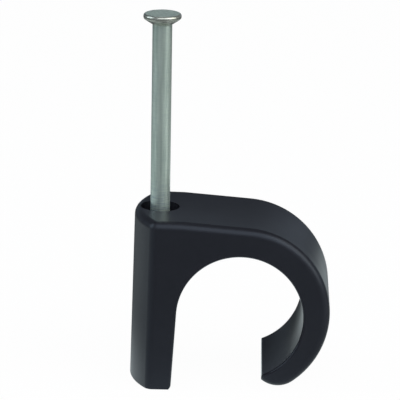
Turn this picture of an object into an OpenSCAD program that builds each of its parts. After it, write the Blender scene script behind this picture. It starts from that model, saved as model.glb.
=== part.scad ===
// Nail-in cable clip: a moulded hook for one round cable, with its masonry nail part driven.
// The nail runs along Z on the origin, the cable along Y, and the wall face lies at Z = 0.

/* [Cable] */
// Diameter of the cable that the clip holds
cable_d = 12.85; // [8:0.05:16]
// Gap between the cable and the wall
cable_gap = 1.3; // [0.5:0.05:3]

/* [Arm] */
// Length of the clip along the cable
arm_w = 12.5; // [10:0.5:14]
// Thickest wall of the arm, over the cable's outer shoulder
arm_thick = 3; // [2.2:0.05:4]
// How far the arm's outer circle stands off the cable's centre, which thins the arm to its tip
arm_shift = 0.5; // [0.2:0.05:0.9]
// Direction in which the outer circle stands off, up from level
shift_dir = 66; // [50:1:85]
// Fall of the arm's straight top, from the post to the shoulder
arm_fall = 4.5; // [2:0.1:6]
// Radius of the hook's rounded tip
tip_r = 2.6; // [1.8:0.05:2.8]
// Direction in which the tip starts, down from the line of the arm's straight top
tip_dir = 49; // [44:0.1:56]
// From the cable's centre out to the hook's lip
lip_reach = 2.3; // [2:0.05:3]
// Round on the lip
lip_r = 0.3; // [0.1:0.05:0.4]

/* [Post] */
// From the nail's axis to the post's rounded back, at the top
post_back = 2.55; // [2.4:0.05:4]
// Plastic between the nail's bore and the cable
web = 0.85; // [0.6:0.05:2]
// Radius of the post's back, seen from above
back_r = 11; // [9:0.5:16]
// Radius of the corners between the post's back and its flanks
corner_r = 1; // [0.9:0.05:1.6]
// Mould draft of the post's back
draft = 1.1; // [0.2:0.1:1.5]
// Lean of the leg's inner face, which widens the mouth
leg_lean = 3.5; // [2:0.1:5]
// Flat rim between the nail's recess and the arm's falling top
pad_rim = 0.4; // [0.2:0.05:1]

/* [Edges] */
// Round on the outer edges
edge_r = 0.8; // [0.2:0.05:0.9]
// Round on the foot's outer edges
foot_r = 0.1; // [0.05:0.05:0.4]
// Round on the foot's inner edge, below the cable
heel_r = 0.45; // [0.2:0.05:0.8]
// Round on the edges along the cable
bore_r = 0.28; // [0.1:0.02:0.4]

/* [Nail] */
// Diameter of the nail's shank
nail_d = 2; // [1.6:0.1:2.2]
// Length of the nail
nail_l = 35; // [30:1:50]
// How far the point stands back from the wall before the nail is driven
point_back = 2.8; // [0.5:0.1:6]
// Length of the four-sided point
point_l = 3; // [2:0.1:5]
// Diameter of the head
head_d = 3.85; // [3.6:0.05:4]
// Depth of the head's rim, with its round top edge
rim_h = 0.5; // [0.4:0.05:0.8]
// Round on the head's top edge
head_r = 0.25; // [0.1:0.05:0.35]
// Depth of the cone under the head
cone_h = 0.62; // [0.4:0.02:0.9]

/* [Fits] */
// Clearance round the shank in its bore
shank_fit = 0.05; // [0.03:0.01:0.1]
// Clearance round the head in its recess
head_fit = 0.075; // [0.05:0.005:0.15]
// How far the driven head sits below the top
head_sink = 0.85; // [0.3:0.05:2]
// Clearance between the driven head and its seat
seat_fit = 0.05; // [0.02:0.01:0.1]

/* [Hidden] */
$fn = 96;

// Cutters reach this far past what they cut
past = 1;
// Share of the bore's edge round that lies inside the flanks, so that it crosses them at an angle
bore_share = 0.97;
// Share of the lip's round that lies outside the cable, so that it crosses the seat at an angle
lip_share = 0.97;
// What the wall face trims off the round at the foot's back
foot_trim = 0.01;
// How far a piece stands back from the one it runs into, so that their faces never nearly coincide
step = 0.02;
// How far the leg's inner face stands proud of the cable's seat, so that it crosses the seat at an angle
seat_step = 0.02;

half_w = arm_w / 2;
post_w = half_w - step;
bore_d = nail_d + 2 * shank_fit;
recess_r = head_d / 2 + head_fit;
cable_r = cable_d / 2;
cable_x = bore_d / 2 + web + cable_r;
cable_z = cable_gap + cable_r;

// The arm's outer circle and its tangent straight top
outer_r = cable_r + arm_thick - arm_shift;
outer_x = cable_x + arm_shift * cos(shift_dir);
outer_z = cable_z + arm_shift * sin(shift_dir);
shoulder_x = outer_x + outer_r * sin(arm_fall);
shoulder_z = outer_z + outer_r * cos(arm_fall);

// The centre of the tip's circle, which the outer circle runs into, in the arm's frame
tip_x = (outer_r - tip_r) * cos(tip_dir);
tip_z = -(outer_r - tip_r) * sin(tip_dir);

// The centre of the lip's round, and the leg's inner face where it meets the wall
lip_x = cable_x + lip_reach + lip_r;
lip_z = cable_z - sqrt(pow(cable_r + lip_share * lip_r, 2) - pow(lip_reach + lip_r, 2));
leg_x = cable_x - (cable_r - seat_step + cable_z * sin(leg_lean)) / cos(leg_lean);

// The pad round the recess, and the mitre where the falling top begins
pad_end = recess_r + pad_rim;
pad_z = shoulder_z + (shoulder_x - pad_end) * tan(arm_fall);
top_z = pad_z + pad_end * tan(draft);
mitre_tilt = (draft + arm_fall) / 2;
top_l = (shoulder_x - pad_end) / cos(arm_fall);

// The post's plan, from the mitre back: its end arc and two corner arcs
back_x = -pad_end - post_back;
back_cx = back_x + back_r;
corner_y = post_w - corner_r;
turn = asin(corner_y / (back_r - corner_r));
corner_x = back_cx - (back_r - corner_r) * cos(turn);
post_h = (pad_z - back_x * sin(draft) + foot_trim) / cos(draft);
blank_h = pad_z + cable_d;

// The nail's heights, from the point up
head_h = rim_h + cone_h;
seat_z = top_z - head_sink - rim_h - seat_fit;
seat_fall = cone_h / (head_d / 2 - nail_d / 2);

// What a round takes off a square corner at the origin
module corner_cut(r) {
    translate([-r, -r])
        difference() {
            square(2 * r);
            circle(r);
        }
}

// A section from an axis out to reach, with its two far corners rounded
module rounded_section(reach, low, high, low_r, high_r) {
    difference() {
        translate([0, low])
            square([reach, high - low]);
        translate([reach, high])
            corner_cut(high_r);
        translate([reach, low])
            mirror([0, 1])
                corner_cut(low_r);
    }
}

// A section of the arm, round at both flanks
module band_section(reach, inset) {
    rounded_section(reach - inset, inset - half_w, half_w - inset, edge_r, edge_r);
}

// A section of the post, round at the top and at the foot
module post_section(reach, inset) {
    rounded_section(reach - inset, inset - post_h, -inset, foot_r, edge_r);
}

// A section of the cable's way, flared where it meets the flanks
module bore_section(reach) {
    inset = bore_share * bore_r;
    translate([0, -half_w - past])
        square([reach, arm_w + 2 * past]);
    for (side = [0, 1])
        mirror([0, side])
            difference() {
                translate([0, half_w - inset])
                    square([reach + bore_r, inset + past]);
                translate([reach + bore_r, half_w - inset])
                    circle(bore_r);
            }
}

// Everything ahead of the mitre plane
module ahead_of_mitre() {
    translate([pad_end, 0, pad_z])
        rotate([0, mitre_tilt, 0])
            translate([0, -arm_w, -2 * blank_h])
                cube([4 * outer_r, 2 * arm_w, 3 * blank_h]);
}

// The post with its level pad, behind the mitre
module post_blank() {
    difference() {
        translate([pad_end, 0, pad_z - step])
            rotate([0, draft, 0]) {
                translate([back_cx, 0, 0])
                    rotate_extrude(start = 180 - turn, angle = 2 * turn)
                        post_section(back_r, 0);
                for (side = [-1, 1])
                    translate([corner_x, side * corner_y, 0])
                        rotate_extrude()
                            post_section(corner_r, step);
                translate([corner_x, 0, 0])
                    rotate([90, 0, 90])
                        linear_extrude(-corner_x + post_h * tan(mitre_tilt))
                            for (side = [0, 1])
                                mirror([side, 0])
                                    post_section(post_w, 0);
            }
        ahead_of_mitre();
    }
}

// The arm's frame: the centre of its outer circle, with the straight top level
module in_arm_frame() {
    translate([outer_x, 0, outer_z])
        rotate([0, arm_fall, 0])
            children();
}

// The arm's straight top, from the mitre to the shoulder
module top_blank() {
    intersection() {
        in_arm_frame()
            rotate([0, -90, 0])
                linear_extrude(2 * top_l)
                    band_section(outer_r, 0);
        ahead_of_mitre();
    }
}

// The curved arm, from the shoulder round to the rounded tip
module arm_blank() {
    in_arm_frame() {
        rotate([90, 0, 0])
            rotate_extrude(start = -tip_dir, angle = tip_dir + 90)
                band_section(outer_r, 0);
        translate([tip_x, 0, tip_z])
            rotate([90, 0, 0])
                rotate_extrude()
                    band_section(tip_r, step);
    }
}

// The cable's round seat, and the mouth that the leg's leaning face opens below it
module cable_way() {
    mouth_l = cable_z + cable_r;
    mouth_over = outer_x - cable_x + past;
    translate([cable_x, 0, cable_z])
        rotate([90, 0, 0]) {
            rotate_extrude()
                bore_section(cable_r);
            rotate([0, 0, 180 - leg_lean])
                rotate([90, 0, 0])
                    translate([0, 0, -mouth_l])
                        linear_extrude(mouth_l) {
                            bore_section(cable_r - seat_step);
                            translate([-mouth_over, -half_w - past])
                                square([mouth_over + past, arm_w + 2 * past]);
                        }
        }
}

// A section of the clip from the side, cut right across it
module across() {
    rotate([90, 0, 0])
        linear_extrude(arm_w + 2 * past, center = true)
            children();
}

// What the mouth takes off the tip, which leaves a round lip
module lip_cut() {
    across()
        difference() {
            polygon([
                [cable_x, -past],
                [lip_x - lip_r, -past],
                [lip_x - lip_r, lip_z],
                [lip_x, lip_z],
                [cable_x, cable_z]
            ]);
            translate([lip_x, lip_z])
                circle(lip_r);
        }
}

// What rounds the foot's inner edge
module foot_cut() {
    across()
        translate([leg_x, -foot_trim])
            mirror([0, 1])
                corner_cut(heel_r);
}

// The nail's bore, with the recess and the cone that its head is driven down to
module nail_way() {
    translate([0, 0, -past])
        cylinder(h = top_z + 2 * past, d = bore_d);
    rotate_extrude()
        polygon([
            [0, seat_z - seat_fall * recess_r],
            [recess_r, seat_z],
            [recess_r, top_z + past],
            [0, top_z + past]
        ]);
}

// The clip's outer shape with the cable's way through it
module hook() {
    difference() {
        union() {
            post_blank();
            top_blank();
            arm_blank();
        }
        cable_way();
    }
}

// The moulded clip: one piece of black plastic
module clip_body() {
    color([0.14, 0.15, 0.17])
        difference() {
            hook();
            lip_cut();
            foot_cut();
            nail_way();
            translate([-2 * arm_w, -arm_w, -blank_h])
                cube([4 * arm_w, 2 * arm_w, blank_h]);
        }
}

// Half of the nail's outline, from its axis out
module nail_section() {
    polygon([
        [0, 0],
        [nail_d / 2, 0],
        [nail_d / 2, nail_l - head_h],
        [head_d / 2, nail_l - rim_h],
        [head_d / 2, nail_l - head_r],
        [head_d / 2 - head_r, nail_l - head_r],
        [head_d / 2 - head_r, nail_l],
        [0, nail_l]
    ]);
    translate([head_d / 2 - head_r, nail_l - head_r])
        circle(head_r);
}

// A wedge, point down, that keeps what lies between two of the point's four flats
module point_wedge() {
    steep = 2 * point_l / nail_d;
    rotate([90, 0, 0])
        linear_extrude(2 * head_d, center = true)
            polygon([[0, 0], [nail_l, nail_l * steep], [-nail_l, nail_l * steep]]);
}

// The zinc-plated nail, held in its bore with the head standing proud
module nail() {
    color([0.6, 0.63, 0.6])
        translate([0, 0, point_back])
            intersection() {
                rotate_extrude()
                    nail_section();
                point_wedge();
                rotate([0, 0, 90])
                    point_wedge();
            }
}

clip_body();
nail();
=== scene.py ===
"""Looks of the nail-in cable clip: the moulded clip, its plated nail, and a plain studio."""

import logging
import math
from collections.abc import Callable
from dataclasses import dataclass, field
from enum import Enum

import bmesh
import bpy
from mathutils import Matrix, Vector


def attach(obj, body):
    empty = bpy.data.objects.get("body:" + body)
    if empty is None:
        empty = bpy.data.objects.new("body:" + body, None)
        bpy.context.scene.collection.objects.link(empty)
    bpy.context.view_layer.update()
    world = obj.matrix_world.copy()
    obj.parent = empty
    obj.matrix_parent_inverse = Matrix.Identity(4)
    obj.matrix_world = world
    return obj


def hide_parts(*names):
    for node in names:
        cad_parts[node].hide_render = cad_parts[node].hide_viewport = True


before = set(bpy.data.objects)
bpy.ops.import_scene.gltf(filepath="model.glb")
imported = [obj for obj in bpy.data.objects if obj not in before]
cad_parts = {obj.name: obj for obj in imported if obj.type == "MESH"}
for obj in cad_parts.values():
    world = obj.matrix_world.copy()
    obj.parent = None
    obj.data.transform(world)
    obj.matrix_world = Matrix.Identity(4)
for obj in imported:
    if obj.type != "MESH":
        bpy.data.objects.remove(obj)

log = logging.getLogger("cable_clip")

MM = 0.001

# In millimetres: points nearer than WELD are one point, and those within ON_PLANE lie on a plane.
WELD = 1e-4
ON_PLANE = 1e-5
SHARP_EDGE = math.radians(40)
WHITE = (1.0, 1.0, 1.0, 1.0)

Triple = tuple[float, float, float]


class Cut(Enum):
    """How one solid works on another."""

    TAKE_AWAY = "DIFFERENCE"
    KEEP_COMMON = "INTERSECT"


class Body(Enum):
    """The two bodies that the clip is made of."""

    CLIP = "clip"
    NAIL = "nail"


def select_only(piece: bpy.types.Object) -> None:
    """Makes a piece the only selected object, and the active one.

    Args:
        piece: The object to work on.
    """
    bpy.ops.object.select_all(action="DESELECT")
    piece.select_set(True)
    bpy.context.view_layer.objects.active = piece


def remove(piece: bpy.types.Object) -> None:
    """Deletes a helper object once its work is done."""
    select_only(piece)
    bpy.ops.object.delete()


class Draft:
    """A closed outline drawn point by point in millimetres, then made a solid."""

    def __init__(self, name: str, start: Vector, axis: Vector) -> None:
        """Puts down the first point.

        Args:
            name: Name of the object.
            start: First point of the outline.
            axis: Axis about which the outline's arcs turn.
        """
        bpy.ops.object.select_all(action="DESELECT")
        bpy.ops.mesh.primitive_plane_add(size=1.0, location=start)
        self.piece: bpy.types.Object = bpy.context.object
        self.piece.name = name
        bpy.ops.object.transform_apply(location=True, rotation=True, scale=True)
        self.axis = axis
        self.pen = Vector(start)
        bpy.ops.object.mode_set(mode="EDIT")
        bpy.ops.mesh.select_mode(type="VERT")
        bpy.ops.mesh.select_all(action="SELECT")
        bpy.ops.mesh.merge(type="CENTER")
        bpy.ops.mesh.select_all(action="SELECT")

    def line(self, end: Vector) -> None:
        """Draws a straight line.

        Args:
            end: Where the line ends.
        """
        step = Vector(end) - self.pen
        bpy.ops.mesh.extrude_vertices_move(TRANSFORM_OT_translate={"value": step})
        self.pen = Vector(end)

    def arc(self, centre: Vector, degrees: float, steps: int) -> None:
        """Draws an arc from the pen's place.

        Args:
            centre: Centre of the arc.
            degrees: How far it turns about the draft's axis.
            steps: Number of straight parts.
        """
        turn = math.radians(degrees)
        bpy.ops.mesh.spin(steps=steps, angle=-turn, center=centre, axis=self.axis)
        arm = self.pen - Vector(centre)
        self.pen = Vector(centre) + Matrix.Rotation(turn, 3, self.axis) @ arm

    def close(self) -> "Draft":
        """Joins the last point to the first and fills the outline with one face.

        Returns:
            The draft itself, so that calls can follow on.
        """
        bpy.ops.mesh.select_all(action="SELECT")
        bpy.ops.mesh.remove_doubles(threshold=WELD)
        bpy.ops.mesh.select_all(action="SELECT")
        bpy.ops.mesh.edge_face_add()
        return self

    def raise_by(self, way: Vector) -> None:
        """Extrudes the selected face.

        Args:
            way: Direction and length of the extrusion.
        """
        bpy.ops.mesh.extrude_region_move(TRANSFORM_OT_translate={"value": way})

    def widen(self, factor: float, centre: Vector) -> None:
        """Scales the selected face in the outline's plane.

        Args:
            factor: Scale in the plane.
            centre: The point that stays where it is.
        """
        value = tuple(1.0 if part else factor for part in self.axis)
        bpy.ops.transform.resize(value=value, center_override=centre)

    def lathe(self, steps: int) -> bpy.types.Object:
        """Turns the open outline once about the upright axis.

        Args:
            steps: Number of flats round the turned piece.

        Returns:
            The turned solid.
        """
        bpy.ops.mesh.select_all(action="SELECT")
        bpy.ops.mesh.spin(steps=steps, angle=math.tau, center=(0, 0, 0), axis=(0, 0, 1))
        bpy.ops.mesh.select_all(action="SELECT")
        bpy.ops.mesh.remove_doubles(threshold=WELD)
        return self.solid()

    def solid(self) -> bpy.types.Object:
        """Ends the drawing with its faces pointing outwards.

        Returns:
            The finished object.
        """
        bpy.ops.mesh.select_all(action="SELECT")
        bpy.ops.mesh.normals_make_consistent(inside=False)
        bpy.ops.object.mode_set(mode="OBJECT")
        return self.piece


def work(piece: bpy.types.Object, tool: bpy.types.Object, cut: Cut) -> None:
    """Cuts a piece with a tool and throws the tool away.

    Args:
        piece: What is cut.
        tool: What cuts it.
        cut: Whether the tool takes material away or keeps what is common.
    """
    select_only(piece)
    step = piece.modifiers.new(tool.name, "BOOLEAN")
    step.operation = cut.value
    step.solver = "EXACT"
    step.object = tool
    bpy.ops.object.modifier_apply(modifier=step.name)
    remove(tool)
    select_only(piece)


def round_edges(
    piece: bpy.types.Object,
    chosen: Callable[[bmesh.types.BMEdge], bool],
    radius: float,
    steps: int,
) -> int:
    """Rounds the edges that a test picks out.

    Args:
        piece: The object whose edges are rounded.
        chosen: A test of one edge, which is true for those to round.
        radius: Radius of the round, in millimetres.
        steps: Number of flats across the round.

    Returns:
        The number of edges that were rounded.
    """
    select_only(piece)
    bpy.ops.object.mode_set(mode="EDIT")
    bpy.ops.mesh.select_mode(type="EDGE")
    bpy.ops.mesh.select_all(action="DESELECT")
    mesh = bmesh.from_edit_mesh(piece.data)
    count = 0
    for edge in mesh.edges:
        if len(edge.link_faces) == 2 and chosen(edge):
            edge.select_set(True)
            count += 1
    bmesh.update_edit_mesh(piece.data)
    bpy.ops.mesh.bevel(
        offset_type="OFFSET",
        offset=radius,
        segments=steps,
        profile=0.5,
        affect="EDGES",
        clamp_overlap=False,
        loop_slide=True,
    )
    bpy.ops.object.mode_set(mode="OBJECT")
    return count


def finish_mesh(piece: bpy.types.Object, sharp_from: float) -> None:
    """Brings a piece from millimetres to metres and gives it smooth, weighted shading.

    Args:
        piece: The object, drawn in millimetres.
        sharp_from: Edges that turn by more than this many degrees stay sharp.
    """
    select_only(piece)
    bpy.ops.object.mode_set(mode="EDIT")
    bpy.ops.mesh.select_all(action="SELECT")
    bpy.ops.mesh.remove_doubles(threshold=WELD)
    bpy.ops.mesh.select_all(action="SELECT")
    bpy.ops.mesh.normals_make_consistent(inside=False)
    bpy.ops.object.mode_set(mode="OBJECT")
    piece.scale = (MM, MM, MM)
    bpy.ops.object.transform_apply(location=True, rotation=True, scale=True)
    bpy.ops.object.shade_smooth_by_angle(angle=math.radians(sharp_from))
    even = piece.modifiers.new("even_shading", "WEIGHTED_NORMAL")
    even.mode = "FACE_AREA"
    even.weight = 100
    even.keep_sharp = True
    bpy.ops.object.modifier_apply(modifier=even.name)


def math_node(nodes: bpy.types.Nodes, operation: str, *values: float | None) -> bpy.types.Node:
    """Adds a node that works out a number.

    Args:
        nodes: Nodes of the tree.
        operation: What the node does.
        values: Its fixed inputs in order, with None for one that is linked.

    Returns:
        The node.
    """
    made = nodes.new("ShaderNodeMath")
    made.operation = operation
    for socket, value in zip(made.inputs, values):
        if value is not None:
            socket.default_value = value
    return made


def vector_node(nodes: bpy.types.Nodes, operation: str, second: Triple | None = None) -> bpy.types.Node:
    """Adds a node that works out a vector.

    Args:
        nodes: Nodes of the tree.
        operation: What the node does.
        second: Its fixed second input, or None where that is linked or not used.

    Returns:
        The node.
    """
    made = nodes.new("ShaderNodeVectorMath")
    made.operation = operation
    if second is not None:
        made.inputs[1].default_value = second
    return made


def range_node(
    nodes: bpy.types.Nodes, start: float, end: float, low: float = 0.0, high: float = 1.0
) -> bpy.types.Node:
    """Adds a node that turns one range of values into another.

    Args:
        nodes: Nodes of the tree.
        start: Value that gives the low result.
        end: Value that gives the high result.
        low: The low result.
        high: The high result.

    Returns:
        The node.
    """
    made = nodes.new("ShaderNodeMapRange")
    for label, value in (("From Min", start), ("From Max", end), ("To Min", low), ("To Max", high)):
        made.inputs[label].default_value = value
    return made


def colour_node(
    nodes: bpy.types.Nodes, first: Triple | None, second: Triple | None, blend: str = "MIX"
) -> bpy.types.Node:
    """Adds a node that mixes two colours.

    Args:
        nodes: Nodes of the tree.
        first: The first colour, or None where it is linked.
        second: The second colour, or None where it is linked.
        blend: How the second colour goes on the first.

    Returns:
        The node.
    """
    made = nodes.new("ShaderNodeMix")
    made.data_type = "RGBA"
    made.blend_type = blend
    for label, colour in (("A", first), ("B", second)):
        if colour is not None:
            made.inputs[label].default_value = (*colour, 1.0)
    return made


def bump_node(nodes: bpy.types.Nodes, depth: float, strength: float) -> bpy.types.Node:
    """Adds a node that raises fine relief.

    Args:
        nodes: Nodes of the tree.
        depth: Height of the relief, in metres.
        strength: Share of it that shows.

    Returns:
        The node.
    """
    made = nodes.new("ShaderNodeBump")
    made.inputs["Distance"].default_value = depth
    made.inputs["Strength"].default_value = strength
    return made


class SurfaceGroups:
    """Shader node groups that both finishes share."""

    faintest: float = 0.35
    boldest: float = 0.65
    drift_detail: float = 3.0

    @classmethod
    def fine_marks(cls) -> bpy.types.NodeTree:
        """Builds the group of fine marks, once.

        Returns:
            A group that puts out a height, a mask of marks and a slow drift.
        """
        name = "fine_marks"
        if name in bpy.data.node_groups:
            return bpy.data.node_groups[name]
        group = bpy.data.node_groups.new(name, "ShaderNodeTree")
        face = group.interface
        face.new_socket("Vector", in_out="INPUT", socket_type="NodeSocketVector")
        for label in ("Grain Scale", "Drift Scale", "Detail"):
            face.new_socket(label, in_out="INPUT", socket_type="NodeSocketFloat")
        for label in ("Height", "Marks", "Drift"):
            face.new_socket(label, in_out="OUTPUT", socket_type="NodeSocketFloat")
        nodes, links = group.nodes, group.links
        come = nodes.new("NodeGroupInput")
        go = nodes.new("NodeGroupOutput")
        grain = nodes.new("ShaderNodeTexNoise")
        drift = nodes.new("ShaderNodeTexNoise")
        drift.inputs["Detail"].default_value = cls.drift_detail
        marks = range_node(nodes, cls.faintest, cls.boldest)
        links.new(come.outputs["Vector"], grain.inputs["Vector"])
        links.new(come.outputs["Grain Scale"], grain.inputs["Scale"])
        links.new(come.outputs["Detail"], grain.inputs["Detail"])
        links.new(come.outputs["Vector"], drift.inputs["Vector"])
        links.new(come.outputs["Drift Scale"], drift.inputs["Scale"])
        links.new(grain.outputs["Fac"], marks.inputs["Value"])
        links.new(grain.outputs["Fac"], go.inputs["Height"])
        links.new(marks.outputs["Result"], go.inputs["Marks"])
        links.new(drift.outputs["Fac"], go.inputs["Drift"])
        return group

    @classmethod
    def add_marks(
        cls, nodes: bpy.types.Nodes, grain_scale: float, drift_scale: float, detail: float
    ) -> bpy.types.Node:
        """Puts the group of fine marks into a material.

        Args:
            nodes: Nodes of the material.
            grain_scale: How fine the marks are, per metre.
            drift_scale: How fine the slow drift is, per metre.
            detail: How many finer layers the marks have.

        Returns:
            The node with the group.
        """
        made = nodes.new("ShaderNodeGroup")
        made.node_tree = cls.fine_marks()
        made.inputs["Grain Scale"].default_value = grain_scale
        made.inputs["Drift Scale"].default_value = drift_scale
        made.inputs["Detail"].default_value = detail
        return made


@dataclass(frozen=True)
class MouldedPlastic:
    """Black satin plastic with the fine grain of its mould, smoother on the flare of the cable's seat."""

    name: str = "moulding_black"
    deep: Triple = (0.0108, 0.0106, 0.0134)
    pale: Triple = (0.0130, 0.0128, 0.0160)
    sheen_tint: Triple = (0.72, 0.85, 1.0)
    gloss_low: float = 0.32
    gloss_high: float = 0.41
    specular: float = 0.26
    grain_scale: float = 5200.0
    drift_scale: float = 260.0
    grain_detail: float = 3.0
    grain_depth: float = 0.000004
    grain_strength: float = 0.5
    sink: float = 8.0
    flare_gloss: float = 0.4
    flare_share: float = 0.96

    def material(self, seat: Vector, seat_r: float, flare: float) -> bpy.types.Material:
        """Builds the finish, whose shading leans towards mid-width as a moulded face sinks.

        Args:
            seat: A point on the axis of the cable's seat, in metres.
            seat_r: The seat's radius, in metres.
            flare: How far the seat's ends flare out, in metres.

        Returns:
            The material.
        """
        made = bpy.data.materials.new(self.name)
        made.use_nodes = True
        nodes, links = made.node_tree.nodes, made.node_tree.links
        shader = nodes["Principled BSDF"]
        shader.inputs["Specular IOR Level"].default_value = self.specular
        shader.inputs["Specular Tint"].default_value = (*self.sheen_tint, 1.0)
        place = nodes.new("ShaderNodeTexCoord")
        marks = SurfaceGroups.add_marks(nodes, self.grain_scale, self.drift_scale, self.grain_detail)
        tint = colour_node(nodes, self.deep, self.pale)
        links.new(place.outputs["Object"], marks.inputs["Vector"])
        links.new(marks.outputs["Drift"], tint.inputs["Factor"])
        links.new(tint.outputs["Result"], shader.inputs["Base Color"])
        gloss = range_node(nodes, 0.0, 1.0, self.gloss_low, self.gloss_high)
        from_seat = nodes.new("ShaderNodeMapping")
        from_seat.inputs["Location"].default_value = -seat
        from_seat.inputs["Scale"].default_value = (1.0, 0.0, 1.0)
        reach = vector_node(nodes, "LENGTH")
        on_flare = math_node(nodes, "COMPARE", None, seat_r + flare / 2, self.flare_share * flare / 2)
        smoother = range_node(nodes, 0.0, 1.0, 1.0, self.flare_gloss)
        rough = math_node(nodes, "MULTIPLY")
        links.new(marks.outputs["Drift"], gloss.inputs["Value"])
        links.new(place.outputs["Object"], from_seat.inputs["Vector"])
        links.new(from_seat.outputs["Vector"], reach.inputs[0])
        links.new(reach.outputs["Value"], on_flare.inputs[0])
        links.new(on_flare.outputs[0], smoother.inputs["Value"])
        links.new(gloss.outputs["Result"], rough.inputs[0])
        links.new(smoother.outputs["Result"], rough.inputs[1])
        links.new(rough.outputs[0], shader.inputs["Roughness"])
        across = vector_node(nodes, "MULTIPLY", (0.0, -self.sink, 0.0))
        dished = vector_node(nodes, "ADD")
        turned = nodes.new("ShaderNodeVectorTransform")
        turned.vector_type = "NORMAL"
        turned.convert_from = "OBJECT"
        turned.convert_to = "WORLD"
        bump = bump_node(nodes, self.grain_depth, self.grain_strength)
        links.new(place.outputs["Object"], across.inputs[0])
        links.new(place.outputs["Normal"], dished.inputs[0])
        links.new(across.outputs["Vector"], dished.inputs[1])
        links.new(dished.outputs["Vector"], turned.inputs["Vector"])
        links.new(turned.outputs["Vector"], bump.inputs["Normal"])
        links.new(marks.outputs["Height"], bump.inputs["Height"])
        links.new(bump.outputs["Normal"], shader.inputs["Normal"])
        return made


@dataclass(frozen=True)
class PlatedZinc:
    """Dull grey-green zinc on drawn steel wire: streaked along it and struck on top, with painted shade
    and highlight colour that make the head darker and warmer than the shank, and scuff marks at the clip
    that carry a painted reflection of the dark clip.
    """

    name: str = "zinc_plate"
    dark: Triple = (0.435, 0.51, 0.445)
    light: Triple = (0.585, 0.665, 0.585)
    metal: float = 0.8
    gloss_low: float = 0.34
    gloss_high: float = 0.46
    mark_drift: float = 900.0
    mark_detail: float = 3.0
    mark_strength: float = 0.5
    streak_scale: float = 3600.0
    streak_run: float = 0.05
    streak_depth: float = 0.000004
    struck_fade: float = 0.00004
    struck_dull: float = 0.37
    # Painted shade on the head: its struck top a little darker than the shank.
    struck_painted_shade: Triple = (0.88, 0.89, 0.91)
    formed_rise: float = 0.00004
    formed_fade: float = 0.0001
    formed_shine: float = 0.15
    # Painted shade and highlight colour: the rim and the cone under the head are darker and warmer than
    # the shank, and the warm cast stands in for the lamps' neutral highlights.
    formed_painted_light: Triple = (0.78, 0.69, 0.68)
    # Scuff marks near the clip, whose cool dark colour is a painted reflection of the clip's dark top.
    scuff_reflection_low: float = 0.0180
    scuff_reflection_high: float = 0.0208
    scuff_scale: float = 8000.0
    scuff_run: float = 0.12
    scuff_reflection_faint: float = 0.2
    scuff_depth: float = 0.000006
    scuff_reflection_tone: Triple = (0.58, 0.63, 0.74)

    def material(self, top: float, neck: float) -> bpy.types.Material:
        """Builds the finish.

        Args:
            top: Height of the head's struck face, in metres.
            neck: Height at which the cone under the head begins, in metres.

        Returns:
            The material.
        """
        made = bpy.data.materials.new(self.name)
        made.use_nodes = True
        nodes, links = made.node_tree.nodes, made.node_tree.links
        shader = nodes["Principled BSDF"]
        shader.inputs["Metallic"].default_value = self.metal
        place = nodes.new("ShaderNodeTexCoord")
        split = nodes.new("ShaderNodeSeparateXYZ")
        links.new(place.outputs["Object"], split.inputs[0])
        height = split.outputs["Z"]
        formed_z = neck + self.formed_rise
        streaks = self.marks(nodes, links, place, (1.0, 1.0, self.streak_run), self.streak_scale)
        scuffs = self.marks(nodes, links, place, (self.scuff_run, self.scuff_run, 1.0), self.scuff_scale)
        struck = range_node(nodes, top - self.struck_fade, top)
        formed = range_node(nodes, formed_z - self.formed_fade, formed_z + self.formed_fade)
        # Painted reflection of the dark clip in the scuff marks, stronger towards the clip.
        scuff_reflection_band = range_node(nodes, self.scuff_reflection_high, self.scuff_reflection_low, self.scuff_reflection_faint)
        for mask in (struck, formed, scuff_reflection_band):
            links.new(height, mask.inputs["Value"])
        tint = colour_node(nodes, self.dark, self.light)
        # Painted shade and highlight colour on the head, laid over the streaks.
        head = colour_node(nodes, self.formed_painted_light, self.struck_painted_shade)
        tone = colour_node(nodes, None, None, "MULTIPLY")
        scuff_reflection_marks = math_node(nodes, "MULTIPLY")
        scuff_reflection_colour = colour_node(nodes, None, self.scuff_reflection_tone, "MULTIPLY")
        links.new(streaks.outputs["Marks"], tint.inputs["Factor"])
        links.new(struck.outputs["Result"], head.inputs["Factor"])
        links.new(formed.outputs["Result"], tone.inputs["Factor"])
        links.new(tint.outputs["Result"], tone.inputs["A"])
        links.new(head.outputs["Result"], tone.inputs["B"])
        links.new(scuff_reflection_band.outputs["Result"], scuff_reflection_marks.inputs[0])
        links.new(scuffs.outputs["Marks"], scuff_reflection_marks.inputs[1])
        links.new(scuff_reflection_marks.outputs[0], scuff_reflection_colour.inputs["Factor"])
        links.new(tone.outputs["Result"], scuff_reflection_colour.inputs["A"])
        links.new(scuff_reflection_colour.outputs["Result"], shader.inputs["Base Color"])
        gloss = range_node(nodes, 0.0, 1.0, self.gloss_low, self.gloss_high)
        dull = math_node(nodes, "MULTIPLY_ADD", None, self.struck_dull)
        rough = math_node(nodes, "MULTIPLY_ADD", None, -self.formed_shine)
        links.new(streaks.outputs["Drift"], gloss.inputs["Value"])
        links.new(struck.outputs["Result"], dull.inputs[0])
        links.new(gloss.outputs["Result"], dull.inputs[2])
        links.new(formed.outputs["Result"], rough.inputs[0])
        links.new(dull.outputs[0], rough.inputs[2])
        links.new(rough.outputs[0], shader.inputs["Roughness"])
        bump = bump_node(nodes, self.streak_depth, self.mark_strength)
        ripple = bump_node(nodes, self.scuff_depth, self.mark_strength)
        links.new(streaks.outputs["Height"], bump.inputs["Height"])
        links.new(scuffs.outputs["Height"], ripple.inputs["Height"])
        links.new(bump.outputs["Normal"], ripple.inputs["Normal"])
        links.new(ripple.outputs["Normal"], shader.inputs["Normal"])
        return made

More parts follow.
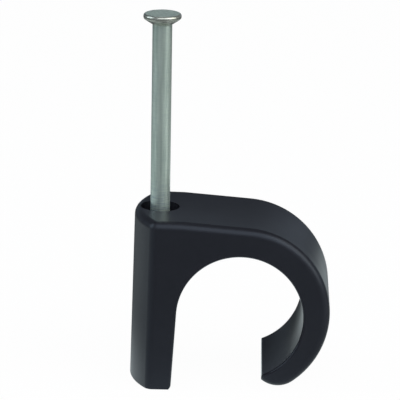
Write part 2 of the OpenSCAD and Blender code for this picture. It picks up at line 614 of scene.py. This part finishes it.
    def marks(
        self,
        nodes: bpy.types.Nodes,
        links: bpy.types.NodeLinks,
        place: bpy.types.Node,
        run: Triple,
        scale: float,
    ) -> bpy.types.Node:
        """Lays fine marks that run along or round the wire.

        Args:
            nodes: The material's nodes.
            links: The material's links.
            place: The node that gives the place on the nail.
            run: How far the marks are drawn out along each axis, as a share of their scale.
            scale: How fine they are, per metre.

        Returns:
            The node with the marks.
        """
        drawn = nodes.new("ShaderNodeMapping")
        drawn.inputs["Scale"].default_value = run
        made = SurfaceGroups.add_marks(nodes, scale, self.mark_drift, self.mark_detail)
        links.new(place.outputs["Object"], drawn.inputs["Vector"])
        links.new(drawn.outputs["Vector"], made.inputs["Vector"])
        return made


@dataclass
class Clip:
    """The moulded clip, in millimetres: a post for the nail and a hook for the cable."""

    cable_r: float = 6.425
    cable_x: float = 8.325
    cable_z: float = 7.725
    half_w: float = 6.25
    outer_r: float = 8.925
    outer_x: float = 8.5284
    outer_z: float = 8.1818
    arm_fall: float = 4.5
    tip_r: float = 2.6
    tip_dir: float = 49.0
    tip_turn: float = 150.0
    lip_reach: float = 2.3
    lip_r: float = 0.3
    leg_lean: float = 3.5
    mouth_turn: float = 80.0
    pad_end: float = 2.4
    post_back: float = 2.55
    back_r: float = 11.0
    corner_r: float = 1.0
    draft: float = 1.1
    edge_r: float = 0.8
    foot_r: float = 0.1
    heel_r: float = 0.45
    flare_r: float = 0.28
    bore_d: float = 2.1
    recess_r: float = 2.0
    head_sink: float = 0.85
    rim_h: float = 0.5
    seat_fit: float = 0.05
    seat_fall: float = 0.67
    past: float = 2.0
    near: float = 0.02
    run_out: float = 0.97
    arm_flats: int = 70
    tip_flats: int = 50
    corner_flats: int = 20
    back_flats: int = 42
    edge_flats: int = 8
    foot_flats: int = 5
    seat_flats: int = 130
    heel_flats: int = 10
    flare_flats: int = 6
    lip_flats: int = 8
    turned_flats: int = 96
    sharp_from: float = 30.0
    finish: MouldedPlastic = field(default_factory=MouldedPlastic)

    @property
    def shoulder(self) -> Vector:
        """Where the straight top runs into the outer circle."""
        fall = math.radians(self.arm_fall)
        return Vector((
            self.outer_x + self.outer_r * math.sin(fall),
            0,
            self.outer_z + self.outer_r * math.cos(fall),
        ))

    @property
    def pad_z(self) -> float:
        """Height of the line where the pad meets the falling top."""
        top = self.shoulder
        return top.z + (top.x - self.pad_end) * math.tan(math.radians(self.arm_fall))

    @property
    def tip(self) -> Vector:
        """Centre of the hook's rounded tip."""
        down = math.radians(self.tip_dir + self.arm_fall)
        reach = self.outer_r - self.tip_r
        return Vector((
            self.outer_x + reach * math.cos(down),
            0,
            self.outer_z - reach * math.sin(down),
        ))

    @property
    def outer(self) -> Vector:
        """Centre of the outer circle."""
        return Vector((self.outer_x, 0, self.outer_z))

    @property
    def cable(self) -> Vector:
        """Centre of the cable."""
        return Vector((self.cable_x, 0, self.cable_z))

    def build(self) -> bpy.types.Object:
        """Models the clip: a rounded blank, then the cuts through it.

        Returns:
            The finished clip.
        """
        piece = self.side_blank()
        work(piece, self.plan_blank(), Cut.KEEP_COMMON)
        self.stand_on_wall(piece)
        outer = round_edges(piece, self.is_outer_edge, self.edge_r, self.edge_flats)
        foot = round_edges(piece, self.is_foot_edge, self.foot_r, self.foot_flats)
        log.info("rounds: %d edges outside, %d at the foot", outer, foot)
        work(piece, self.cable_way(), Cut.TAKE_AWAY)
        work(piece, self.lip_way(), Cut.TAKE_AWAY)
        work(piece, self.nail_way(), Cut.TAKE_AWAY)
        piece.name = "clip_moulding"
        finish_mesh(piece, self.sharp_from)
        return piece

    def side_blank(self) -> bpy.types.Object:
        """Draws the clip from the side, without its cuts, wider than the clip.

        Returns:
            The blank.
        """
        wide = -self.half_w - self.past
        pad_z = self.pad_z
        behind = -2 * self.post_back
        lean = math.tan(math.radians(self.draft))
        top = self.shoulder
        side = Vector((0, wide, 0))
        inside = self.cable - Vector((self.cable_r / 2, -wide, self.cable_r / 2))
        draft = Draft("clip_blank", Vector((behind, wide, -self.past)), Vector((0, 1, 0)))
        draft.line(Vector((behind, wide, pad_z + (self.pad_end - behind) * lean)))
        draft.line(Vector((self.pad_end, wide, pad_z)))
        draft.line(top + side)
        draft.arc(self.outer + side, 90 + self.tip_dir, self.arm_flats)
        draft.arc(self.tip + side, self.tip_turn, self.tip_flats)
        draft.line(inside)
        draft.line(Vector((inside.x, wide, -self.past)))
        draft.close().raise_by(Vector((0, -2 * wide, 0)))
        return draft.solid()

    def plan_blank(self) -> bpy.types.Object:
        """Draws the clip from above, with the post's arched back, and leans it by the draft.

        Returns:
            The tool that keeps what lies inside the clip's plan.
        """
        back_x = -self.pad_end - self.post_back
        back_c = back_x + self.back_r
        corner_y = self.half_w - self.corner_r
        turn = math.degrees(math.asin(corner_y / (self.back_r - self.corner_r)))
        corner_x = back_c - (self.back_r - self.corner_r) * math.cos(math.radians(turn))
        low = -self.pad_z - 2 * self.past
        far = 3 * self.outer_r
        draft = Draft("clip_plan", Vector((far, -self.half_w, low)), Vector((0, 0, 1)))
        draft.line(Vector((corner_x, -self.half_w, low)))
        draft.arc(Vector((corner_x, -corner_y, low)), turn - 90, self.corner_flats)
        draft.arc(Vector((back_c, 0, low)), -2 * turn, self.back_flats)
        draft.arc(Vector((corner_x, corner_y, low)), turn - 90, self.corner_flats)
        draft.line(Vector((far, self.half_w, low)))
        draft.close().raise_by(Vector((0, 0, self.pad_z + 4 * self.past)))
        tool = draft.solid()
        tool.rotation_euler = (0, math.radians(self.draft), 0)
        tool.location = (self.pad_end, 0, self.pad_z)
        select_only(tool)
        bpy.ops.object.transform_apply(location=True, rotation=True, scale=True)
        return tool

    def stand_on_wall(self, piece: bpy.types.Object) -> None:
        """Cuts the post off flat where it meets the wall.

        Args:
            piece: The blank.
        """
        select_only(piece)
        bpy.ops.object.mode_set(mode="EDIT")
        bpy.ops.mesh.select_all(action="SELECT")
        bpy.ops.mesh.bisect(
            plane_co=(0, 0, 0),
            plane_no=(0, 0, 1),
            use_fill=True,
            clear_inner=True,
            threshold=ON_PLANE,
        )
        bpy.ops.object.mode_set(mode="OBJECT")

    def is_outer_edge(self, edge: bmesh.types.BMEdge) -> bool:
        """Tells whether an edge lies on the clip's outer outline.

        Args:
            edge: An edge of the blank.

        Returns:
            True for the edges that take the large round.
        """
        ends = [v.co for v in edge.verts]
        across = abs(ends[0].y - ends[1].y) > 2 * self.half_w - self.near
        if across or edge.calc_face_angle() < SHARP_EDGE:
            return False
        middle = (ends[0] + ends[1]) / 2
        flat = Vector((middle.x, 0, middle.z))
        on_arm = (flat - self.outer).length > self.outer_r - self.near and middle.x > self.outer_x
        if middle.z > self.tip.z + self.tip_r:
            return on_arm or middle.z > self.cable_z + self.cable_r
        on_tip = (flat - self.tip).length > self.tip_r - self.near
        return on_arm or (on_tip and middle.x > self.tip.x - self.tip_r)

    def is_foot_edge(self, edge: bmesh.types.BMEdge) -> bool:
        """Tells whether an edge lies round the foot, outside the cable's way.

        Args:
            edge: An edge of the blank.

        Returns:
            True for the edges that take the foot's round.
        """
        ends = [v.co for v in edge.verts]
        if max(abs(p.z) for p in ends) > WELD or edge.calc_face_angle() < SHARP_EDGE:
            return False
        return min(p.x for p in ends) < self.cable_x - self.cable_r / 2 - self.near

    def cable_way(self) -> bpy.types.Object:
        """Draws what the cable's seat and its mouth take away, flared at both flanks.

        Returns:
            The cutting tool.
        """
        lean = math.radians(self.leg_lean)
        centre = self.cable
        tangent = centre - self.cable_r * Vector((math.cos(lean), 0, -math.sin(lean)))
        foot = tangent - Vector((math.sin(lean), 0, math.cos(lean))) * (tangent.z / math.cos(lean))
        heel_x = foot.x - self.heel_r * (1 - math.sin(lean)) / math.cos(lean)
        draft = Draft("cable_way", Vector((heel_x, 0, -self.past)), Vector((0, 1, 0)))
        draft.line(Vector((heel_x, 0, 0)))
        draft.arc(Vector((heel_x, 0, self.heel_r)), self.leg_lean - 90, self.heel_flats)
        draft.line(tangent)
        draft.arc(centre, 180 - self.leg_lean + self.mouth_turn, self.seat_flats)
        draft.line(Vector((draft.pen.x, 0, -self.past)))
        draft.close()
        self.flare(draft)
        return self.both_flanks(draft.solid())

    def flare(self, draft: Draft) -> None:
        """Carries the cable's way from mid-width out past one flank, flared at its end.

        Args:
            draft: The closed outline of the way.
        """
        draft.raise_by(Vector((0, self.half_w - self.run_out * self.flare_r, 0)))
        done = Vector((self.cable_r, 0, 0))
        for i in range(1, self.flare_flats + 1):
            angle = math.radians(90 * i / self.flare_flats)
            wide = self.cable_r + self.flare_r * (1 - math.cos(angle))
            rise = self.flare_r * math.sin(angle)
            draft.raise_by(Vector((0, rise - done.y, 0)))
            draft.widen(wide / done.x, self.cable)
            done = Vector((wide, rise, 0))
        draft.raise_by(Vector((0, self.past, 0)))

    @staticmethod
    def both_flanks(tool: bpy.types.Object) -> bpy.types.Object:
        """Opens a half tool at mid-width and mirrors it to the other flank.

        Args:
            tool: The half that reaches from mid-width past one flank.

        Returns:
            The whole tool.
        """
        select_only(tool)
        bpy.ops.object.mode_set(mode="EDIT")
        bpy.ops.mesh.select_mode(type="FACE")
        bpy.ops.mesh.select_all(action="DESELECT")
        mesh = bmesh.from_edit_mesh(tool.data)
        for face in mesh.faces:
            face.select_set(all(abs(v.co.y) < ON_PLANE for v in face.verts))
        bmesh.update_edit_mesh(tool.data)
        bpy.ops.mesh.delete(type="ONLY_FACE")
        bpy.ops.object.mode_set(mode="OBJECT")
        mirror = tool.modifiers.new("both_flanks", "MIRROR")
        mirror.use_axis = (False, True, False)
        mirror.merge_threshold = WELD
        bpy.ops.object.modifier_apply(modifier=mirror.name)
        bpy.ops.object.mode_set(mode="EDIT")
        bpy.ops.mesh.select_all(action="SELECT")
        bpy.ops.mesh.normals_make_consistent(inside=False)
        bpy.ops.object.mode_set(mode="OBJECT")
        return tool

    def lip_way(self) -> bpy.types.Object:
        """Draws what the mouth takes off the tip, which leaves a round lip.

        Returns:
            The cutting tool.
        """
        wide = -self.half_w - self.past
        lip_x = self.cable_x + self.lip_reach + self.lip_r
        reach = self.cable_r + self.run_out * self.lip_r
        lip_z = self.cable_z - math.sqrt(reach**2 - (self.lip_reach + self.lip_r) ** 2)
        up = math.degrees(math.atan2(self.cable_z - lip_z, lip_x - self.cable_x))
        draft = Draft("lip_way", Vector((self.cable_x, wide, self.cable_z)), Vector((0, 1, 0)))
        draft.line(Vector((self.cable_x, wide, -self.past)))
        draft.line(Vector((lip_x - self.lip_r, wide, -self.past)))
        draft.line(Vector((lip_x - self.lip_r, wide, lip_z)))
        draft.arc(Vector((lip_x, wide, lip_z)), up, self.lip_flats)
        draft.close().raise_by(Vector((0, -2 * wide, 0)))
        return draft.solid()

    def nail_way(self) -> bpy.types.Object:
        """Turns the tool for the nail's bore, its recess and the seat of its head.

        Returns:
            The cutting tool.
        """
        top_z = self.pad_z + self.pad_end * math.tan(math.radians(self.draft))
        seat_z = top_z - self.head_sink - self.rim_h - self.seat_fit
        bore_r = self.bore_d / 2
        neck_z = seat_z - self.seat_fall * (self.recess_r - bore_r)
        draft = Draft("nail_way", Vector((0, 0, -self.past)), Vector((0, -1, 0)))
        draft.line(Vector((bore_r, 0, -self.past)))
        draft.line(Vector((bore_r, 0, neck_z)))
        draft.line(Vector((self.recess_r, 0, seat_z)))
        draft.line(Vector((self.recess_r, 0, top_z + self.past)))
        draft.line(Vector((0, 0, top_z + self.past)))
        return draft.lathe(self.turned_flats)

    def dress(self, piece: bpy.types.Object) -> None:
        """Gives the clip its plastic and puts it on its body.

        Args:
            piece: The modelled clip.
        """
        piece.data.materials.clear()
        plastic = self.finish.material(MM * self.cable, MM * self.cable_r, MM * self.flare_r)
        piece.data.materials.append(plastic)
        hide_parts("clip_body")
        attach(piece, Body.CLIP.value)


@dataclass
class Nail:
    """The masonry nail, in millimetres, part driven with its head standing proud."""

    shank_r: float = 1.0
    length: float = 35.0
    point_back: float = 2.8
    point_l: float = 3.0
    head_r: float = 1.925
    rim_h: float = 0.5
    edge_r: float = 0.25
    cone_h: float = 0.62
    under_r: float = 0.3
    under_flats: int = 6
    edge_flats: int = 8
    turned_flats: int = 96
    sharp_from: float = 25.0
    finish: PlatedZinc = field(default_factory=PlatedZinc)

    @property
    def top(self) -> float:
        """Height of the head's struck face."""
        return self.point_back + self.length

    @property
    def neck(self) -> float:
        """Height at which the cone under the head begins."""
        return self.top - self.rim_h - self.cone_h

    def build(self) -> bpy.types.Object:
        """Turns the nail and grinds its four-sided point.

        Returns:
            The finished nail.
        """
        low = self.point_back
        high = self.top
        draft = Draft("zinc_nail", Vector((0, 0, low)), Vector((0, -1, 0)))
        draft.line(Vector((self.shank_r, 0, low)))
        draft.line(Vector((self.shank_r, 0, self.neck)))
        slope = math.atan2(self.cone_h, self.head_r - self.shank_r)
        bend = math.pi / 2 - slope
        back = self.under_r * math.tan(bend / 2)
        start = Vector((
            self.head_r - back * math.cos(slope),
            0,
            high - self.rim_h - back * math.sin(slope),
        ))
        draft.line(start)
        draft.arc(
            Vector((self.head_r - self.under_r, 0, high - self.rim_h + back)),
            math.degrees(bend),
            self.under_flats,
        )
        draft.line(Vector((self.head_r, 0, high - self.edge_r)))
        draft.arc(Vector((self.head_r - self.edge_r, 0, high - self.edge_r)), 90, self.edge_flats)
        draft.line(Vector((0, 0, high)))
        piece = draft.lathe(self.turned_flats)
        self.point(piece)
        finish_mesh(piece, self.sharp_from)
        return piece

    def point(self, piece: bpy.types.Object) -> None:
        """Cuts the four flats of the point.

        Args:
            piece: The turned nail.
        """
        select_only(piece)
        bpy.ops.object.mode_set(mode="EDIT")
        for way in ((1, 0), (-1, 0), (0, 1), (0, -1)):
            bpy.ops.mesh.select_all(action="SELECT")
            bpy.ops.mesh.bisect(
                plane_co=(0, 0, self.point_back),
                plane_no=(way[0] * self.point_l, way[1] * self.point_l, -self.shank_r),
                use_fill=True,
                clear_outer=True,
                threshold=ON_PLANE,
            )
        bpy.ops.object.mode_set(mode="OBJECT")

    def dress(self, piece: bpy.types.Object) -> None:
        """Gives the nail its zinc and puts it on its body.

        Args:
            piece: The modelled nail.
        """
        piece.data.materials.clear()
        piece.data.materials.append(self.finish.material(MM * self.top, MM * self.neck))
        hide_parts("nail")
        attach(piece, Body.NAIL.value)


@dataclass(frozen=True)
class Softbox:
    """A soft lamp that faces the clip."""

    name: str
    azimuth: float
    elevation: float
    distance: float
    width: float
    height: float
    glow: float
    tint: Triple

    def hang(self, aim: Vector) -> None:
        """Puts the lamp up.

        Args:
            aim: The point that the lamp faces.
        """
        data = bpy.data.lights.new(self.name, "AREA")
        data.shape = "RECTANGLE"
        data.size = self.width
        data.size_y = self.height
        data.energy = self.glow * math.pi * self.width * self.height
        data.color = self.tint
        lamp = bpy.data.objects.new(self.name, data)
        bpy.context.scene.collection.objects.link(lamp)
        turn = math.radians(self.azimuth)
        rise = math.radians(self.elevation)
        way = Vector((
            math.sin(turn) * math.cos(rise),
            -math.cos(turn) * math.cos(rise),
            math.sin(rise),
        ))
        lamp.location = aim + way * self.distance
        lamp.rotation_euler = way.to_track_quat("Z", "Y").to_euler()


@dataclass(frozen=True)
class Pool:
    """A pool of light on the floor, or of shade where its level is below nought, in metres.

    Only reflections see it.
    """

    x: float
    y: float
    reach_x: float
    reach_y: float
    level: float


@dataclass
class Studio:
    """A plain white floor, a low sky, soft lamps and the camera."""

    azimuth: float = 0.731
    elevation: float = 15.859
    roll: float = 0.908
    focal_px: float = 3500.0
    frame_px: float = 400.0
    sensor_mm: float = 36.0
    clip_near: float = 0.01
    clip_far: float = 20.0
    distance: float = 357.14 * MM
    aim: Vector = field(default_factory=lambda: Vector((0, 0, 17.65 * MM)))
    aim_px: tuple[float, float] = (160.13, 205.97)
    floor_size: float = 6.0
    floor_share: float = 0.975
    floor_tone: float = 0.8
    floor_low: float = 0.02
    pools: tuple[Pool, ...] = (
        Pool(0.004, 0.0, 0.015, 0.014, 0.75),  # under the arch
        Pool(0.0103, 0.018, 0.0044, 0.0072, 1.2),  # mirrored inside the hook
        Pool(-0.060, 0.0, 0.040, 0.068, 0.66),  # left of the post
        Pool(0.075, -0.038, 0.055, 0.055, 0.60),  # mirrored on the nail's right
        Pool(0.036, 0.058, 0.020, 0.031, 0.90),  # behind the shoulder
        Pool(0.004, 0.044, 0.016, 0.026, -0.28),  # shade at the hook's back rim
        Pool(-0.026, -0.088, 0.020, 0.030, -0.05),  # shade along the nail's middle
    )
    floor_tint: Triple = (0.88, 1.0, 1.03)
    sky_low: float = 0.48
    sky_high: float = 0.08
    sky_reach: float = 0.25
    sky_lean: float = 0.5
    sky_tint: Triple = (0.82, 0.98, 1.16)
    lamps: tuple[Softbox, ...] = (
        Softbox("front", 14, 48, 0.40, 0.50, 0.44, 2.03, (0.96, 1.0, 1.07)),
        Softbox("right", 69, 31, 0.42, 0.32, 0.40, 3.0, (1.0, 1.0, 0.95)),
        Softbox("left", -88, 28, 0.42, 0.30, 0.34, 2.8, (0.86, 0.98, 1.07)),
        Softbox("near_left", -34, 14, 0.42, 0.10, 0.10, 1.8, (0.92, 0.98, 1.06)),
    )

    def set_up(self) -> None:
        """Builds the floor, the world, the lamps and the camera."""
        bpy.context.scene.view_settings.view_transform = "Standard"
        self.lay_floor()
        self.light_world()
        for lamp in self.lamps:
            lamp.hang(self.aim)
        self.place_camera()

    def lay_floor(self) -> None:
        """Lays a white floor, which reflections see as pools of light round the clip."""
        bpy.ops.object.select_all(action="DESELECT")
        bpy.ops.mesh.primitive_plane_add(size=self.floor_size)
        floor = bpy.context.object
        floor.name = "floor"
        made = bpy.data.materials.new("floor_white")
        made.use_nodes = True
        nodes, links = made.node_tree.nodes, made.node_tree.links
        nodes.clear()
        out = nodes.new("ShaderNodeOutputMaterial")
        cover = nodes.new("ShaderNodeBsdfDiffuse")
        cover.inputs["Color"].default_value = (self.floor_tone,) * 3 + (1.0,)
        glow = nodes.new("ShaderNodeEmission")
        ray = nodes.new("ShaderNodeLightPath")
        mix = nodes.new("ShaderNodeMixShader")
        clear = self.sum_of(nodes, links, ray.outputs["Is Camera Ray"], ray.outputs["Is Transmission Ray"])
        seen = self.sum_of(nodes, links, clear, ray.outputs["Is Glossy Ray"])
        share = math_node(nodes, "MULTIPLY", None, self.floor_share)
        level = nodes.new("ShaderNodeMix")
        level.inputs["B"].default_value = 1.0
        links.new(seen, share.inputs[0])
        links.new(clear, level.inputs["Factor"])
        links.new(self.pool_light(nodes, links), level.inputs["A"])
        links.new(level.outputs["Result"], glow.inputs["Strength"])
        hue = colour_node(nodes, self.floor_tint, WHITE[:3])
        links.new(clear, hue.inputs["Factor"])
        links.new(hue.outputs["Result"], glow.inputs["Color"])
        links.new(share.outputs[0], mix.inputs["Fac"])
        links.new(cover.outputs[0], mix.inputs[1])
        links.new(glow.outputs[0], mix.inputs[2])
        links.new(mix.outputs[0], out.inputs["Surface"])
        floor.data.materials.append(made)

    @staticmethod
    def sum_of(
        nodes: bpy.types.Nodes,
        links: bpy.types.NodeLinks,
        one: bpy.types.NodeSocket,
        other: bpy.types.NodeSocket,
    ) -> bpy.types.NodeSocket:
        """Adds two values, up to one.

        Args:
            nodes: Nodes of the tree.
            links: Links of the tree.
            one: First value.
            other: Second value.

        Returns:
            The socket with the sum.
        """
        both = math_node(nodes, "ADD")
        both.use_clamp = True
        links.new(one, both.inputs[0])
        links.new(other, both.inputs[1])
        return both.outputs[0]

    def pool_light(self, nodes: bpy.types.Nodes, links: bpy.types.NodeLinks) -> bpy.types.NodeSocket:
        """Makes the light on the floor, which falls off from the middle of each pool and stops at nought.

        Args:
            nodes: Nodes of the floor's tree.
            links: Links of the floor's tree.

        Returns:
            The socket with the light's level.
        """
        place = nodes.new("ShaderNodeTexCoord")
        total: bpy.types.NodeSocket | None = None
        for pool in self.pools:
            away = vector_node(nodes, "SUBTRACT", (pool.x, pool.y, 0.0))
            scale = vector_node(nodes, "DIVIDE", (pool.reach_x, pool.reach_y, 1.0))
            square = vector_node(nodes, "DOT_PRODUCT")
            steep = math_node(nodes, "POWER", None, 2.0)
            more = math_node(nodes, "ADD", None, 1.0)
            fall = math_node(nodes, "DIVIDE", pool.level)
            lift = math_node(nodes, "ADD", None, self.floor_low)
            links.new(place.outputs["Object"], away.inputs[0])
            links.new(away.outputs["Vector"], scale.inputs[0])
            links.new(scale.outputs["Vector"], square.inputs[0])
            links.new(scale.outputs["Vector"], square.inputs[1])
            links.new(square.outputs["Value"], steep.inputs[0])
            links.new(steep.outputs[0], more.inputs[0])
            links.new(more.outputs[0], fall.inputs[1])
            links.new(fall.outputs[0], lift.inputs[0])
            if total is not None:
                links.new(total, lift.inputs[1])
            total = lift.outputs[0]
        above = math_node(nodes, "MAXIMUM", None, 0.0)
        links.new(total, above.inputs[0])
        return above.outputs[0]

    def light_world(self) -> None:
        """Gives the world a low grey, palest at the horizon and to the right, and white to the camera."""
        world = bpy.data.worlds.new("studio")
        bpy.context.scene.world = world
        world.use_nodes = True
        nodes, links = world.node_tree.nodes, world.node_tree.links
        nodes.clear()
        out = nodes.new("ShaderNodeOutputWorld")
        dim = nodes.new("ShaderNodeBackground")
        white = nodes.new("ShaderNodeBackground")
        white.inputs["Color"].default_value = WHITE
        ray = nodes.new("ShaderNodeLightPath")
        mix = nodes.new("ShaderNodeMixShader")
        place = nodes.new("ShaderNodeTexCoord")
        split = nodes.new("ShaderNodeSeparateXYZ")
        rise = range_node(nodes, 0.0, self.sky_reach, self.sky_low, self.sky_high)
        aside = math_node(nodes, "MULTIPLY_ADD", None, self.sky_lean, 1.0)
        level = math_node(nodes, "MULTIPLY")
        links.new(place.outputs["Generated"], split.inputs[0])
        links.new(split.outputs["Z"], rise.inputs["Value"])
        links.new(split.outputs["X"], aside.inputs[0])
        links.new(rise.outputs["Result"], level.inputs[0])
        links.new(aside.outputs[0], level.inputs[1])
        links.new(level.outputs[0], dim.inputs["Strength"])
        dim.inputs["Color"].default_value = (*self.sky_tint, 1.0)
        seen = self.sum_of(nodes, links, ray.outputs["Is Camera Ray"], ray.outputs["Is Transmission Ray"])
        links.new(seen, mix.inputs["Fac"])
        links.new(dim.outputs[0], mix.inputs[1])
        links.new(white.outputs[0], mix.inputs[2])
        links.new(mix.outputs[0], out.inputs["Surface"])

    def place_camera(self) -> None:
        """Stands the camera where the photograph was taken from."""
        turn, rise, roll = (math.radians(a) for a in (self.azimuth, self.elevation, self.roll))
        right = Vector((math.cos(turn), math.sin(turn), 0))
        ahead = Vector((
            -math.sin(turn) * math.cos(rise),
            math.cos(turn) * math.cos(rise),
            -math.sin(rise),
        ))
        up = right.cross(ahead)
        across = math.cos(roll) * right + math.sin(roll) * up
        down = math.sin(roll) * right - math.cos(roll) * up
        half = self.frame_px / 2
        scale = self.distance / self.focal_px
        side = (self.aim_px[0] - half) * scale
        drop = (self.aim_px[1] - half) * scale
        eye = self.aim - across * side - down * drop - ahead * self.distance
        data = bpy.data.cameras.new("camera")
        data.sensor_width = self.sensor_mm
        data.lens = self.focal_px / self.frame_px * data.sensor_width
        data.clip_start = self.clip_near
        data.clip_end = self.clip_far
        camera = bpy.data.objects.new("camera", data)
        bpy.context.scene.collection.objects.link(camera)
        axes = Matrix((across, -down, -ahead)).transposed()
        camera.matrix_world = Matrix.Translation(eye) @ axes.to_4x4()
        bpy.context.scene.camera = camera


def main() -> None:
    """Builds the clip and its nail, puts each on its body, and sets up the studio."""
    logging.basicConfig(level=logging.INFO, format="%(name)s: %(message)s")
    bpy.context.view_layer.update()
    for part in (Clip(), Nail()):
        piece = part.build()
        part.dress(piece)
        log.info("%s: %d faces", piece.name, len(piece.data.polygons))
    Studio().set_up()


if __name__ == "__main__":
    main()
